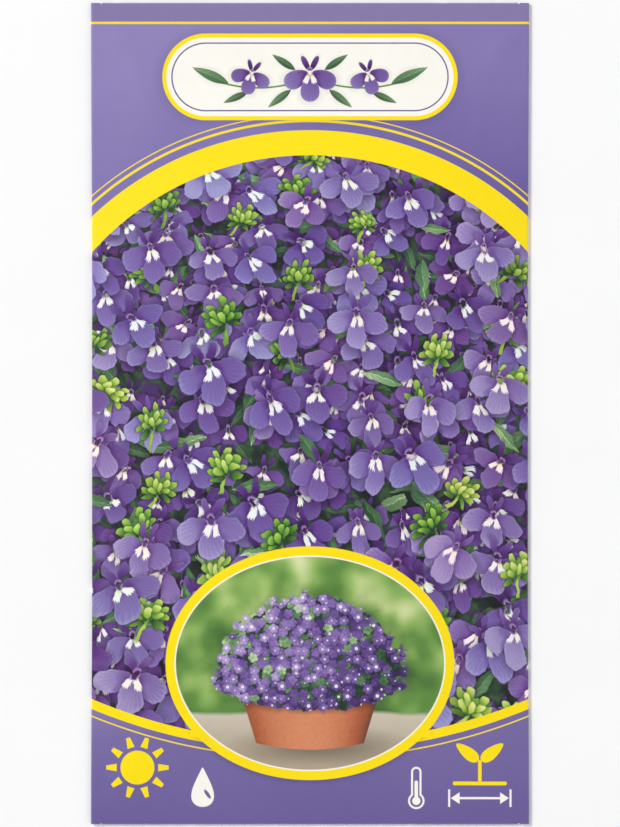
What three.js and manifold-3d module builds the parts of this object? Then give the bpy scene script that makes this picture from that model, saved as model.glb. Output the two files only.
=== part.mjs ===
// A sealed flower-seed packet that lies on its back, in millimetres: +Z up, +X to the right of the
// front, +Y to its top. The origin is under the middle of the packet, on the surface that it rests on.
// Three pieces: the printed paper packet, the small glassine sachet inside it, and the pinch of seed
// in the sachet. Packet and sachet are the same kind of bag, so one function folds both. A sheet is
// wrapped round from side to side, its long edges are lapped and glued down the back, and a flap of
// the front is folded over the back at each end.

import * as THREE from "three";
import { mergeVertices } from "three/addons/utils/BufferGeometryUtils.js";
import Module from "manifold-3d";

const wasm = await Module();
wasm.setup();

const CLEARANCE = 0.3; // between pieces that touch
const GLUE_SINK = 0.02; // the sliver by which glued layers are sunk into each other
const FLAT_END = 2; // the stretch at each end of a bag that is pressed quite flat
const LAP_STEP = 0.05; // the run over which a wall steps up or down at a lapped edge
const SETTLE = 5; // the run over which the inner back panel comes down beside the lap
const FOLD_STEPS = 4; // facets round half a turn of a fold

// The printed packet.
const PACKET = {
  width: 80,
  length: 150,
  sheet: 0.15, // thickness of the laminated paper
  edgeHeight: 0.6, // outer height of the folded sides
  rise: 3.2, // how far the front bulges above its edges
  reach: { bottom: 42, top: 52 }, // length of the slope from each flat end up to the full bulge
  pullIn: 0.2, // how far the bulge draws in each long side
  lap: { from: -4, to: 6 }, // the outer back panel's edge, and the hidden edge of the inner one
  flaps: {
    bottom: { depth: 14, rootWidth: 76, tipWidth: 64, corner: 3 },
    top: { depth: 16, rootWidth: 76, tipWidth: 70, corner: 4 },
  },
  acrossFront: 20, // facets across the front
  stations: 26, // facets along the length
};

// The sachet, which lies on the packet's lapped back seam, nearer to the bottom end.
const SACHET = {
  width: 46,
  length: 64,
  sheet: 0.1,
  edgeHeight: 0.4,
  rise: 1.4,
  reach: { bottom: 14, top: 44 },
  pullIn: 0.1,
  lap: { from: -3, to: 4 },
  flaps: {
    bottom: { depth: 8, rootWidth: 43, tipWidth: 35, corner: 2 },
    top: { depth: 12, rootWidth: 43, tipWidth: 41, corner: 1.5 },
  },
  acrossFront: 12,
  stations: 13,
};
const SACHET_CENTRE_Y = -18;

// The pinch of seed: a flat heap of brown grains.
const SEED = { length: 0.55, width: 0.42, height: 0.36 };
const HEAP = {
  width: 19,
  depth: 10,
  height: 0.8,
  centreY: -16, // from the sachet's middle
  grains: 120,
  spread: 0.97, // how far out the grains reach, as a share of the core's size
  core: 0.72, // the core's height as a share of the heap's, so that the grains stand out of it
};

// A number from 0 to 1 that is the same for the same n.
function chance(n) {
  const s = Math.sin(n * 127.1 + 311.7) * 43758.5453;
  return s - Math.floor(s);
}

// Rises from 0 at t = 0 to 1 at t = 1 with level ends.
function smooth(t) {
  const c = Math.min(1, Math.max(0, t));
  return c * c * (3 - 2 * c);
}

// A closed geometry as a manifold-3d solid.
function solidOf(geometry) {
  const g = geometry.index ? geometry.toNonIndexed() : geometry.clone();
  g.deleteAttribute("normal");
  g.deleteAttribute("uv");
  const merged = mergeVertices(g, 1e-4);
  return new wasm.Manifold(
    new wasm.Mesh({
      numProp: 3,
      vertProperties: new Float32Array(merged.attributes.position.array),
      triVerts: new Uint32Array(merged.index.array),
    }),
  );
}

// A manifold-3d solid as a named, coloured mesh.
function meshOf(name, solid, material) {
  const { vertProperties, triVerts } = solid.getMesh();
  const g = new THREE.BufferGeometry();
  g.setAttribute("position", new THREE.BufferAttribute(vertProperties, 3));
  g.setIndex(new THREE.BufferAttribute(triVerts, 1));
  g.computeVertexNormals();
  const mesh = new THREE.Mesh(g, material);
  mesh.name = name;
  return mesh;
}

// Heights above the surface that a bag lies on, with the flaps between the two: the back's outer
// face, its inner face, its inner face where it is lapped, and the front's outer face at the folds.
function layersOf(bag) {
  return {
    backOuter: bag.sheet,
    backInner: 2 * bag.sheet,
    lapInner: 3 * bag.sheet,
    edge: bag.sheet + bag.edgeHeight,
    foldRadius: bag.edgeHeight / 2,
  };
}

// Share of the full bulge at a distance y along a bag: 0 at its flat ends, 1 in the middle.
function bulgeAlong(bag, y) {
  const toBottom = smooth((bag.length / 2 - FLAT_END + y) / bag.reach.bottom);
  const toTop = smooth((bag.length / 2 - FLAT_END - y) / bag.reach.top);
  return toBottom * toTop;
}

// Height of the front's outer face: a parabola from side to side, scaled by the bulge along the length.
function frontHeight(bag, u, y) {
  return layersOf(bag).edge + bag.rise * (1 - u * u) * bulgeAlong(bag, y);
}

// The stops across the back, each with the height of the outer and the inner face of the wall there.
// Left of the lap the inner panel comes down by one sheet, and the lap itself is two sheets thick.
// Two stops on the level stretches only keep the facets there from growing long and thin.
function backStops(bag, half) {
  const { backOuter, backInner, lapInner } = layersOf(bag);
  const { from, to } = bag.lap;
  const [midLeft, midRight] = [-half * 0.7, half * 0.55];
  return [
    { x: -half, outer: backOuter, inner: backInner },
    { x: midLeft, outer: backOuter, inner: backInner },
    { x: from - 2 * SETTLE, outer: backOuter, inner: backInner },
    { x: from - SETTLE, outer: backInner, inner: lapInner },
    { x: from - LAP_STEP, outer: backInner, inner: lapInner },
    { x: from, outer: backOuter, inner: lapInner },
    { x: to - LAP_STEP, outer: backOuter, inner: lapInner },
    { x: to, outer: backOuter, inner: backInner },
    { x: midRight, outer: backOuter, inner: backInner },
    { x: half, outer: backOuter, inner: backInner },
  ];
}

// One cross-section of the wrapped sheet at y: matching points of its outer and inner outline, in a
// loop that runs along the back, up the right fold, back across the front and down the left fold.
function section(bag, y) {
  const { backOuter, edge, foldRadius } = layersOf(bag);
  const half = bag.width / 2 - bag.pullIn * bulgeAlong(bag, y) - foldRadius;
  const middle = (backOuter + edge) / 2;
  const loop = backStops(bag, half).map((s) => [s.x, s.outer, s.x, s.inner]);
  const fold = (side, k) => {
    const angle = -Math.PI / 2 + (Math.PI * k) / FOLD_STEPS;
    const [c, s] = [Math.cos(angle), Math.sin(angle)];
    const inside = foldRadius - bag.sheet;
    loop.push([
      side * (half + foldRadius * c),
      middle + foldRadius * s,
      side * (half + inside * c),
      middle + inside * s,
    ]);
  };
  for (let k = 1; k < FOLD_STEPS; k++) fold(1, k);
  for (let i = 0; i <= bag.acrossFront; i++) {
    const u = 1 - (2 * i) / bag.acrossFront;
    const z = frontHeight(bag, u, y);
    loop.push([u * half, z, u * half, z - bag.sheet]);
  }
  for (let k = FOLD_STEPS - 1; k > 0; k--) fold(-1, k);
  return loop;
}

// Where the cross-sections stand along a bag: its two cut ends, and even steps between the two flat
// stretches.
function stationsOf(bag) {
  const cutEnd = bag.length / 2 - 2 * bag.sheet;
  const flatEnd = bag.length / 2 - FLAT_END;
  const stations = [-cutEnd];
  for (let j = 0; j <= bag.stations; j++) stations.push(flatEnd * ((2 * j) / bag.stations - 1));
  return [...stations, cutEnd];
}

// The wrapped sheet without its flaps: a flattened tube, swept along Y from one cross-section to the
// next.
function wrappedSheet(bag) {
  const sections = stationsOf(bag).map((y) => ({ y, loop: section(bag, y) }));
  const end = sections.length - 1;
  const around = sections[0].loop.length;
  const position = [];
  for (const { y, loop } of sections)
    for (const [ox, oz, ix, iz] of loop) position.push(ox, y, oz, ix, y, iz);
  const outer = (j, i) => 2 * (j * around + (i % around));
  const inner = (j, i) => outer(j, i) + 1;
  const index = [];
  const quad = (a, b, c, d) => index.push(a, b, c, a, c, d);
  for (let i = 0; i < around; i++) {
    for (let j = 0; j < end; j++) {
      quad(outer(j, i), outer(j + 1, i), outer(j + 1, i + 1), outer(j, i + 1));
      quad(inner(j, i), inner(j, i + 1), inner(j + 1, i + 1), inner(j + 1, i));
    }
    quad(outer(0, i), outer(0, i + 1), inner(0, i + 1), inner(0, i));
    quad(outer(end, i), inner(end, i), inner(end, i + 1), outer(end, i + 1));
  }
  const g = new THREE.BufferGeometry();
  g.setAttribute("position", new THREE.Float32BufferAttribute(position, 3));
  g.setIndex(index);
  return solidOf(g);
}

// Outline of a flap in its own plane: root along y = 0, straight tapering sides, and a tip with
// rounded corners.
function flapOutline(flap) {
  const { depth, corner } = flap;
  const [root, tip] = [flap.rootWidth / 2, flap.tipWidth / 2];
  const atCorner = tip + ((root - tip) * corner) / depth;
  const outline = new THREE.Shape();
  outline.moveTo(-root, 0);
  outline.lineTo(root, 0);
  outline.lineTo(atCorner, depth - corner);
  outline.quadraticCurveTo(tip, depth, tip - corner, depth);
  outline.lineTo(-tip + corner, depth);
  outline.quadraticCurveTo(-tip, depth, -atCorner, depth - corner);
  outline.closePath();
  return outline;
}

// A flap with the fold that joins it to the front, for the bottom end. The fold is half a flat ring,
// as tall as the flattened end of the bag, and the flap is glued to the back's outer face.
function flapWithFold(bag, flap) {
  const { edge } = layersOf(bag);
  const middle = edge / 2;
  const reach = 2 * bag.sheet; // how far the fold stands out past the wrapped sheet's cut end
  const root = reach - bag.length / 2;
  const quarter = Math.PI / 2;
  const ring = new THREE.Shape();
  ring.moveTo(-GLUE_SINK, edge);
  ring.absellipse(0, middle, reach, middle, quarter, -quarter, true);
  ring.lineTo(-GLUE_SINK, 0);
  ring.lineTo(-GLUE_SINK, bag.sheet);
  ring.lineTo(0, bag.sheet);
  ring.absellipse(0, middle, reach - bag.sheet, middle - bag.sheet, -quarter, quarter, false);
  ring.lineTo(-GLUE_SINK, edge - bag.sheet);
  ring.closePath();
  const fold = new THREE.ExtrudeGeometry(ring, {
    depth: flap.rootWidth,
    bevelEnabled: false,
    curveSegments: 4,
  });
  // The outline's X points out of the bag's end, its Y is up, and the extrusion runs along X.
  const out = new THREE.Vector3(0, -1, 0);
  const up = new THREE.Vector3(0, 0, 1);
  const along = new THREE.Vector3().crossVectors(out, up);
  fold.applyMatrix4(new THREE.Matrix4().makeBasis(out, up, along));
  fold.translate(flap.rootWidth / 2, root, 0);
  const tongue = new THREE.ExtrudeGeometry(flapOutline(flap), {
    depth: bag.sheet + GLUE_SINK,
    bevelEnabled: false,
    curveSegments: 4,
  });
  tongue.translate(0, root, 0);
  return solidOf(fold).add(solidOf(tongue));
}

// A whole bag: the wrapped sheet with a flap at each end.
function bagSolid(bag) {
  const bottom = flapWithFold(bag, bag.flaps.bottom);
  const top = flapWithFold(bag, bag.flaps.top).rotate([0, 0, 180]);
  return wrappedSheet(bag).add(bottom).add(top);
}

// The seed heap: a flat core with grains spread over both faces on a sunflower spiral, each turned
// its own way.
function seedHeap() {
  const coreLift = (HEAP.height / 2) * HEAP.core;
  const core = new THREE.SphereGeometry(1, 16, 6);
  core.scale(HEAP.width / 2, HEAP.depth / 2, coreLift);
  const goldenAngle = Math.PI * (3 - Math.sqrt(5));
  const grains = [];
  for (let n = 0; n < HEAP.grains; n++) {
    const r = Math.sqrt((n + 0.5) / HEAP.grains) * HEAP.spread;
    const angle = n * goldenAngle;
    const face = n % 2 ? 1 : -1;
    const lift = Math.sqrt(1 - r * r) * coreLift;
    const grain = new THREE.OctahedronGeometry(0.5, 0);
    grain.scale(SEED.length, SEED.width, SEED.height);
    grain.rotateZ(chance(n) * Math.PI);
    grain.translate(
      (r * Math.cos(angle) * HEAP.width) / 2,
      (r * Math.sin(angle) * HEAP.depth) / 2,
      face * lift,
    );
    grains.push(solidOf(grain));
  }
  return wasm.Manifold.union([solidOf(core), ...grains]);
}

const paper = new THREE.MeshStandardMaterial({ color: 0x75669f, roughness: 0.38, metalness: 0 });
const glassine = new THREE.MeshStandardMaterial({ color: 0xe9e4d6, roughness: 0.5, metalness: 0 });
const seedCoat = new THREE.MeshStandardMaterial({ color: 0x6b4526, roughness: 0.7, metalness: 0 });

const packet = meshOf("packet", bagSolid(PACKET), paper);

const sachetFloor = layersOf(PACKET).lapInner + CLEARANCE;
const sachet = meshOf("inner_sachet", bagSolid(SACHET), glassine);
sachet.position.set(0, SACHET_CENTRE_Y, sachetFloor);

const heapFloor = sachetFloor + layersOf(SACHET).lapInner + CLEARANCE;
const seeds = meshOf("seeds", seedHeap(), seedCoat);
seeds.position.set(0, SACHET_CENTRE_Y + HEAP.centreY, heapFloor + HEAP.height / 2);

const seedPacket = new THREE.Group();
seedPacket.add(packet, sachet, seeds);
export default seedPacket;
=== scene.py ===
"""Looks of a sealed flower-seed packet that lies on its back and is seen from straight above.

Lengths are in millimetres until a mesh is made, and the frame's axes hold: +X to the right of the
printed front, +Y to its top, +Z out of it. The packet and the sachet in it are bags folded from one
sheet each, so one set of functions makes both. The print is worked out by the shader from the place
on the flat sheet: no picture is used.
"""

import functools
import math
from dataclasses import dataclass

import bpy
import numpy as np
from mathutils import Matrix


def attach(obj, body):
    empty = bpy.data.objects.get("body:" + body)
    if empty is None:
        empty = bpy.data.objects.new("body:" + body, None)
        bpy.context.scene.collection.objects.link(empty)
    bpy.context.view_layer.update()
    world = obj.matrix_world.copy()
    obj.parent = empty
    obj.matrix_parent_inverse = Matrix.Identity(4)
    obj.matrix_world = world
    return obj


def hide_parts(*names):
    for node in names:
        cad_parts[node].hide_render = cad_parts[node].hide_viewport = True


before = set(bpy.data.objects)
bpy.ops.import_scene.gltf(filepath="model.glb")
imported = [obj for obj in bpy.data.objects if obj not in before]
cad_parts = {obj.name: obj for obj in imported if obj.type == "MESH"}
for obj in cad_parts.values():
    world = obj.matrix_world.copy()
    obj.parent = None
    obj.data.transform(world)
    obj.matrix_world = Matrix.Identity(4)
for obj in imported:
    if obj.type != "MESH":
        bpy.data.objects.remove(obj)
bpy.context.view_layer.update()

MM = 0.001

# ---------------------------------------------------------------- sizes, as the solids have them

FLAT_END = 2.0  # each end of a bag is pressed flat for this length
CLEARANCE = 0.3  # between the packet, the sachet and the seed
SEAM_GAP = 0.01  # between the two sheets of a bag's lapped back
CORNER_REACH = 0.25  # how far the cut ends beside a flap's root run on


@dataclass
class Bag:
    """A flattened tube with a flap at each end, folded from one sheet. Places are given from the
    bag's own middle."""

    width: float
    length: float
    sheet: float  # the sheet's thickness
    edge_height: float  # of the folded long sides
    rise: float  # how high the front bulges
    reach: tuple  # over what length the bulge grows, from the bottom's flat end and from the top's
    pull_in: float  # by how much the bulge draws in each long side
    lap: tuple  # between which places across the back its two edges overlap
    root: float  # how wide a flap is at its fold
    flaps: tuple  # the bottom flap and the top one
    floor: float  # how high the bag lies
    centre_y: float  # where along the packet its middle lies

    @property
    def radius(self):
        """The radius of the long sides' folds."""
        return self.edge_height / 2

    @property
    def half(self):
        """How far from the middle the long sides' folds begin."""
        return self.width / 2 - self.radius

    @property
    def end(self):
        """How far from the middle the ends' folds begin."""
        return self.length / 2 - 2 * self.sheet

    @property
    def flat(self):
        """How far from the middle the flat ends begin."""
        return self.length / 2 - FLAT_END


PACKET = Bag(
    width=80, length=150, sheet=0.15, edge_height=0.6, rise=3.2, reach=(42, 52), pull_in=0.2, lap=(-4, 6),
    root=76, flaps=(dict(depth=14, tip=64, corner=3), dict(depth=16, tip=70, corner=4)), floor=0.0,
    centre_y=0.0,
)
SACHET = Bag(
    width=46, length=64, sheet=0.1, edge_height=0.4, rise=1.4, reach=(14, 44), pull_in=0.1, lap=(-3, 4),
    root=43, flaps=(dict(depth=8, tip=35, corner=2), dict(depth=12, tip=41, corner=1.5)),
    floor=3 * PACKET.sheet + CLEARANCE, centre_y=-18.0,
)
SETTLE = 5.0  # the inner back panel comes down by one sheet over this length beside the lap
HEAP = dict(width=19, depth=10, height=0.8, centre_y=-34.0, count=1100)
HEAP_FLOOR = SACHET.floor + 3 * SACHET.sheet + CLEARANCE
SEED_SIZE = (0.55, 0.42, 0.36)

# ---------------------------------------------------------------- camera and lights

VIEW_HEIGHT = 151.0  # the stretch of the packet's plane that the picture's height takes in
LENS = 120.0
SENSOR = 36.0


def add_camera():
    """A long lens straight above the packet, so that its outline stays a true rectangle."""
    data = bpy.data.cameras.new("camera")
    data.lens = LENS
    data.sensor_width = SENSOR
    camera = bpy.data.objects.new("camera", data)
    bpy.context.scene.collection.objects.link(camera)
    distance = VIEW_HEIGHT * LENS / SENSOR
    camera.location = (0, 0, (distance + PACKET.edge_height) * MM)
    bpy.context.scene.camera = camera


def add_area_light(name, place, size, power):
    """A square soft box at a place in metres, aimed at the packet's middle."""
    data = bpy.data.lights.new(name, "AREA")
    data.shape, data.size, data.energy = "SQUARE", size, power
    light = bpy.data.objects.new(name, data)
    bpy.context.scene.collection.objects.link(light)
    x, y, z = place
    light.location = place
    light.rotation_euler = (math.atan2(math.hypot(x, y), z), 0, math.atan2(y, x) + math.pi / 2)


# ---------------------------------------------------------------- wiring of shader nodes


class Flow:
    """A number, colour or vector that changes over a surface. Arithmetic on it adds the Math node
    that does it."""

    def __init__(self, net, socket):
        self.net, self.socket = net, socket

    def __add__(self, other):
        return self.net.math("ADD", self, other)

    def __sub__(self, other):
        return self.net.math("SUBTRACT", self, other)

    def __rsub__(self, other):
        return self.net.math("SUBTRACT", other, self)

    def __mul__(self, other):
        return self.net.math("MULTIPLY", self, other)

    def __truediv__(self, other):
        return self.net.math("DIVIDE", self, other)

    def __rtruediv__(self, other):
        return self.net.math("DIVIDE", other, self)

    def __abs__(self):
        return self.net.math("ABSOLUTE", self)

    __radd__, __rmul__ = __add__, __mul__


class Net:
    """A node tree being wired. Each method adds a node and gives back what comes out of it."""

    def __init__(self, tree):
        self.tree = tree

    def node(self, kind, inputs=None, **settings):
        made = self.tree.nodes.new("ShaderNode" + kind)
        for key, value in settings.items():
            setattr(made, key, value)
        for key, value in (inputs or {}).items():
            self.feed(made.inputs[key], value)
        return made

    def feed(self, socket, value):
        if isinstance(value, Flow):
            self.tree.links.new(value.socket, socket)
        else:
            socket.default_value = value

    def math(self, operation, *terms, clamp=False):
        node = self.node("Math", dict(enumerate(terms)), operation=operation, use_clamp=clamp)
        return Flow(self, node.outputs[0])

    def line(self, value, factor, start, clamp=False):
        """start plus factor times the value."""
        return self.math("MULTIPLY_ADD", value, factor, start, clamp=clamp)

    def step(self, value, edge=0.0, soft=0.1):
        """0 where value is below edge and 1 above it, with an even slope soft wide between. A
        negative soft turns it round."""
        return self.line(value, 1 / soft, 0.5 - edge / soft, clamp=True)

    def band(self, value, middle, half, soft):
        """1 where value is within half of middle."""
        return self.step(abs(value - middle), half, -soft)

    def least(self, *values):
        return functools.reduce(functools.partial(self.math, "MINIMUM"), values)

    def most(self, *values):
        return functools.reduce(functools.partial(self.math, "MAXIMUM"), values)

    def vector_math(self, operation, *terms, output="Vector"):
        node = self.node("VectorMath", dict(enumerate(terms)), operation=operation)
        return Flow(self, node.outputs[output])

    def length(self, vector):
        return self.vector_math("LENGTH", vector, output="Value")

    def scaled(self, colour, amount):
        """The colour or vector times a number."""
        node = self.node("VectorMath", {0: colour, "Scale": amount}, operation="SCALE")
        return Flow(self, node.outputs["Vector"])

    def xyz(self, vector):
        node = self.node("SeparateXYZ", {0: vector})
        return [Flow(self, socket) for socket in node.outputs]

    def join(self, x, y, z=0.0):
        return Flow(self, self.node("CombineXYZ", {0: x, 1: y, 2: z}).outputs[0])

    def mix(self, share, under, over):
        node = self.node("Mix", {0: share, 2: under, 3: over}, data_type="FLOAT")
        return Flow(self, node.outputs[0])

    def mix_vector(self, share, under, over):
        node = self.node("Mix", {0: share, 4: under, 5: over}, data_type="VECTOR")
        return Flow(self, node.outputs[1])

    def blend(self, share, under, over):
        """The colour over laid on the colour under where share is 1."""
        node = self.node("Mix", {0: share, 6: under, 7: over}, data_type="RGBA")
        return Flow(self, node.outputs[2])

    def ramp(self, value, stops):
        node = self.node("ValToRGB", {0: value})
        elements = node.color_ramp.elements
        while len(elements) < len(stops):
            elements.new(1.0)
        for element, (place, colour) in zip(elements, stops):
            element.position, element.color = place, colour
        return Flow(self, node.outputs[0])

    def noise(self, vector, scale, detail=2.0, output="Fac"):
        inputs = {"Vector": vector, "Scale": scale, "Detail": detail}
        node = self.node("TexNoise", inputs, noise_dimensions="2D")
        return Flow(self, node.outputs[output])

    def seen_from(self, point, centre, turn=0.0, size=(1.0, 1.0)):
        """The point as seen from centre, turned back by turn degrees, in units of size."""
        node = self.node("Mapping", {0: point}, vector_type="TEXTURE")
        node.inputs["Location"].default_value = (*centre, 0)
        node.inputs["Rotation"].default_value = (0, 0, math.radians(turn))
        node.inputs["Scale"].default_value = (*size, 1)
        return Flow(self, node.outputs[0])

    def turned(self, vector, angle):
        """The vector turned by an angle in radians."""
        node = self.node("VectorRotate", {"Vector": vector, "Angle": angle}, rotation_type="Z_AXIS")
        return Flow(self, node.outputs[0])

    def use(self, tree, *values):
        node = self.node("Group", node_tree=tree)
        for socket, value in zip(node.inputs, values):
            self.feed(socket, value)
        return [Flow(self, socket) for socket in node.outputs]


def node_group(name, inputs, outputs, wire):
    """A shader node group with named sockets. wire(net, *inputs) gives its outputs in order."""
    tree = bpy.data.node_groups.new(name, "ShaderNodeTree")
    for direction, sockets in (("INPUT", inputs), ("OUTPUT", outputs)):
        for label, kind in sockets.items():
            tree.interface.new_socket(label, in_out=direction, socket_type="NodeSocket" + kind)
    net = Net(tree)
    source = tree.nodes.new("NodeGroupInput")
    results = wire(net, *[Flow(net, socket) for socket in source.outputs[: len(inputs)]])
    sink = tree.nodes.new("NodeGroupOutput")
    for socket, result in zip(sink.inputs, results):
        net.feed(socket, result)
    return tree


def ink(red, green, blue):
    """A printed colour, given as display values from 0 to 255, as the linear colour that nodes take."""
    shares = [c / 255 for c in (red, green, blue)]
    return (*[c / 12.92 if c <= 0.04045 else ((c + 0.055) / 1.055) ** 2.4 for c in shares], 1.0)


# ---------------------------------------------------------------- motifs: bloom, leaf and shoot

PETAL_INKS = (
    (0.0, ink(50, 18, 76)), (0.2, ink(78, 35, 106)), (0.4, ink(97, 57, 134)), (0.6, ink(114, 87, 154)),
    (0.8, ink(131, 112, 174)), (1.0, ink(164, 152, 200)),
)
LEAF_INKS = (
    (0.0, ink(20, 34, 30)), (0.3, ink(48, 80, 52)), (0.6, ink(86, 124, 84)), (0.85, ink(124, 162, 112)),
    (1.0, ink(186, 212, 160)),
)
BUD_INKS = (
    (0.0, ink(34, 66, 30)), (0.35, ink(90, 138, 50)), (0.7, ink(162, 196, 78)), (1.0, ink(224, 230, 146)),
)
FOLIAGE_INKS = (
    (0.30, ink(22, 24, 30)), (0.45, ink(36, 52, 44)), (0.55, ink(60, 92, 60)), (0.65, ink(70, 40, 96)),
)
EYE_INK = ink(246, 243, 240)
EYE_GLOW_INK = ink(232, 226, 150)
THROAT_RIM_INK = ink(168, 140, 196)
THROAT_INK = ink(80, 14, 74)

# A lobe's shape: the turn of its axis in degrees, how far out its middle lies, its half length and
# half width, and how much it widens outwards. Each petal is a lobe and how light it is. The upper
# and the side petal stand for one on each side.
PETALS = (
    ((63, 0.34, 0.29, 0.10, 0.1), 0.28),
    ((-27, 0.53, 0.46, 0.31, 0.25), 0.56),
    ((-90, 0.58, 0.47, 0.32, 0.3), 0.60),
)
EYE = (-66, 0.265, 0.165, 0.082, 0.28)
THROAT = (90, 0.02, 0.15, 0.11, 0.0)
# A shoot's dark middle and then each of its buds, given like a petal. All but the last bud stand
# for one on each side.
BUDS = (
    ((90, 0.40, 0.42, 0.44, 0.0), 0.04),
    ((-24, 0.50, 0.36, 0.15, -0.2), 0.10),
    ((12, 0.70, 0.31, 0.17, 0.1), 0.28),
    ((42, 0.84, 0.30, 0.18, 0.1), 0.36),
    ((70, 0.95, 0.29, 0.18, 0.1), 0.44),
    ((26, 0.42, 0.27, 0.15, 0.1), 0.46),
    ((60, 0.60, 0.27, 0.16, 0.1), 0.56),
    ((90, 0.32, 0.27, 0.15, 0.1), 0.62),
)
BUDS_ROOT = 0.42  # how far below the shoot's middle the buds' common root lies


def lobe_place(net, point, turn, out, length, width, flare):
    """How far along an egg-shaped lobe a point is, from -1 to 1, and how far across it as a share of
    its half width there."""
    angle = math.radians(turn)
    centre = (out * math.cos(angle), out * math.sin(angle))
    along, across, _ = net.xyz(net.seen_from(point, centre, turn, (length, width)))
    return along, across / net.line(along, flare, 1.0)


def lobe(net, point, *shape):
    """How far a point is from a lobe's middle, as a share of the way to its edge, and how far along
    the lobe it is."""
    along, across = lobe_place(net, point, *shape)
    return net.length(net.join(along, across)), along


def covered(net, edge, sharp):
    """1 within an outline and 0 beyond it, over a slope that is steeper the larger sharp is."""
    return net.line(edge, -1.0 * sharp, sharp + 0.5, clamp=True)


def stacked(net, point, lobes, sharp, rise, rim, light=0.0, nearest=9.0):
    """Lobes laid one over the other, each with a soft shade on those beneath: how light the point
    is, and how far from the nearest lobe's middle, as a share of the way to its edge. Each lobe
    lightens by rise towards its tip and by rim at its edge."""
    for shape, own_light in lobes:
        edge, along = lobe(net, point, *shape)
        own = net.line(net.step(edge, 0.88, 0.3), rim, net.line(along, rise, own_light))
        shaded = net.line(net.step(edge, 1.25, -0.6), -0.55, 1.0) * light
        light = net.mix(covered(net, edge, sharp), shaded, own)
        nearest = net.least(edge, nearest)
    return light, nearest


def wire_bloom(net, point, tone, sharp):
    """A five-petalled bloom with its throat at the origin, about 1 from throat to tip, and the same
    on both sides: two narrow petals above, three broad ones below, a white eye in two blunt halves
    with a dark throat, and veins that run out from it."""
    x, y, _ = net.xyz(point)
    half = net.join(abs(x), y)
    veins = net.math("SINE", net.math("ARCTAN2", x, y) * 46.0)
    radius = net.length(point)
    light, nearest = stacked(net, half, PETALS, sharp, 0.12, 0.10)
    light = net.line(veins * net.step(radius, 0.45, 0.6), -0.03, light)
    light = net.line(net.step(radius, 0.28, -0.4), -0.26, net.line(x, -0.10, light))
    colour = net.ramp(light + tone, PETAL_INKS)
    along, across = lobe_place(net, half, *EYE)
    blunt = net.length(net.join(along * along, across * across))
    eye = net.step(net.line(veins, 0.28, blunt), 1.0, -0.5)
    eye_ink = net.blend(net.step(radius, 0.2, -0.12), EYE_INK, EYE_GLOW_INK)
    colour = net.blend(eye, colour, eye_ink)
    throat, _ = lobe(net, half, *THROAT)
    colour = net.blend(net.step(throat, 1.0, -0.4), colour, THROAT_RIM_INK)
    colour = net.blend(net.step(throat, 0.68, -0.3), colour, THROAT_INK)
    cover = covered(net, nearest, sharp)
    return colour, cover, net.step(nearest, 1.25, -0.6)


def wire_leaf(net, point, tone, sharp):
    """A pointed leaf along X, 1 from its middle to its tip: two halves lit unequally, a pale midrib
    and side veins."""
    along, across, _ = net.xyz(point)
    reach = 1.0 - along * along
    wide = net.most(reach * net.line(along, -0.07, 0.25), 0.001)
    edge = abs(across) / wide
    ends = net.step(reach, 0.02, 0.03)
    cover = covered(net, edge, sharp) * ends
    shadow = net.step(edge, 1.5, -1.2) * ends
    rib = net.step(abs(across), 0.018, -0.02)
    veins = net.math("SINE", net.line(along, 22.0, abs(across) * 40.0))
    light = net.line(net.step(across, 0.0, 0.06), 0.15, net.line(rib, 0.22, tone + 0.42))
    light = net.line(veins, 0.035, net.line(along, 0.14, light))
    return net.ramp(light, LEAF_INKS), cover, shadow


def rosette(net, point, count):
    """The point folded into one sector of count equal ones round the origin, and its radius."""
    x, y, _ = net.xyz(point)
    share = net.math("ARCTAN2", y, x) * (count / (2 * math.pi))
    angle = (share - net.math("ROUND", share)) * (2 * math.pi / count)
    radius = net.length(point)
    return net.join(radius * net.math("COSINE", angle), radius * net.math("SINE", angle)), radius


def wire_buds(net, point, tone, sharp):
    """A bunch of young buds about 1 high and wide on a bent stem: a fan of four on each side, two
    more on each side before it and one in the middle, all with paler tips. The right side stands
    higher than the left, and the fan sways by its tone."""
    x, y, _ = net.xyz(point)
    swayed = net.line(net.math("SINE", net.line(y, 2.2, tone * 40.0)), 0.1, x)
    high = net.line(net.math("SIGN", swayed), -0.05, y + BUDS_ROOT)
    stem = abs(net.line(y * y, 0.13, x)) / net.line(y, -0.022, 0.075)
    stem = net.most(stem, abs(y + 0.72) / 0.72)
    light = net.line(stem, -0.2, 0.62)
    fan = net.join(abs(swayed), high)
    light, nearest = stacked(net, fan, BUDS[:-1], sharp, 0.32, -0.18, light, stem)
    fan = net.join(swayed, y + BUDS_ROOT)
    light, nearest = stacked(net, fan, BUDS[-1:], sharp, 0.32, -0.18, light, nearest)
    cover = covered(net, nearest, sharp)
    return net.ramp(light + tone, BUD_INKS), cover, net.step(nearest, 1.25, -0.6)


# How much, and from where, a copy's red, green and blue vary by lot.
TINT = ((0.24, 0.06, 0.10), (0.88, 0.96, 0.95))
JITTER = 0.68  # how far a motif of a scatter stands from the even grid, as a share of the spacing
# A billionth of the colour beneath is added to a motif's point, so that the renderer works out one
# layer after the other. It has no room to hold the unfinished values of all of them.
HOLD_BACK = (1e-9, 1e-9, 1e-9)


def scattered(net, point, spacing, shift, features):
    """The nearest motifs of an uneven scatter, one for each feature: its middle and a random colour,
    and before them the point moved by the shift."""
    place = net.vector_math("ADD", point, shift)
    inputs = {"Vector": place, "Scale": 1.0 / spacing, "Randomness": JITTER}
    cells = [net.node("TexVoronoi", inputs, voronoi_dimensions="2D", feature=f) for f in features]
    return place, *[Flow(net, cell.outputs[name]) for cell in cells for name in ("Position", "Color")]


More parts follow.
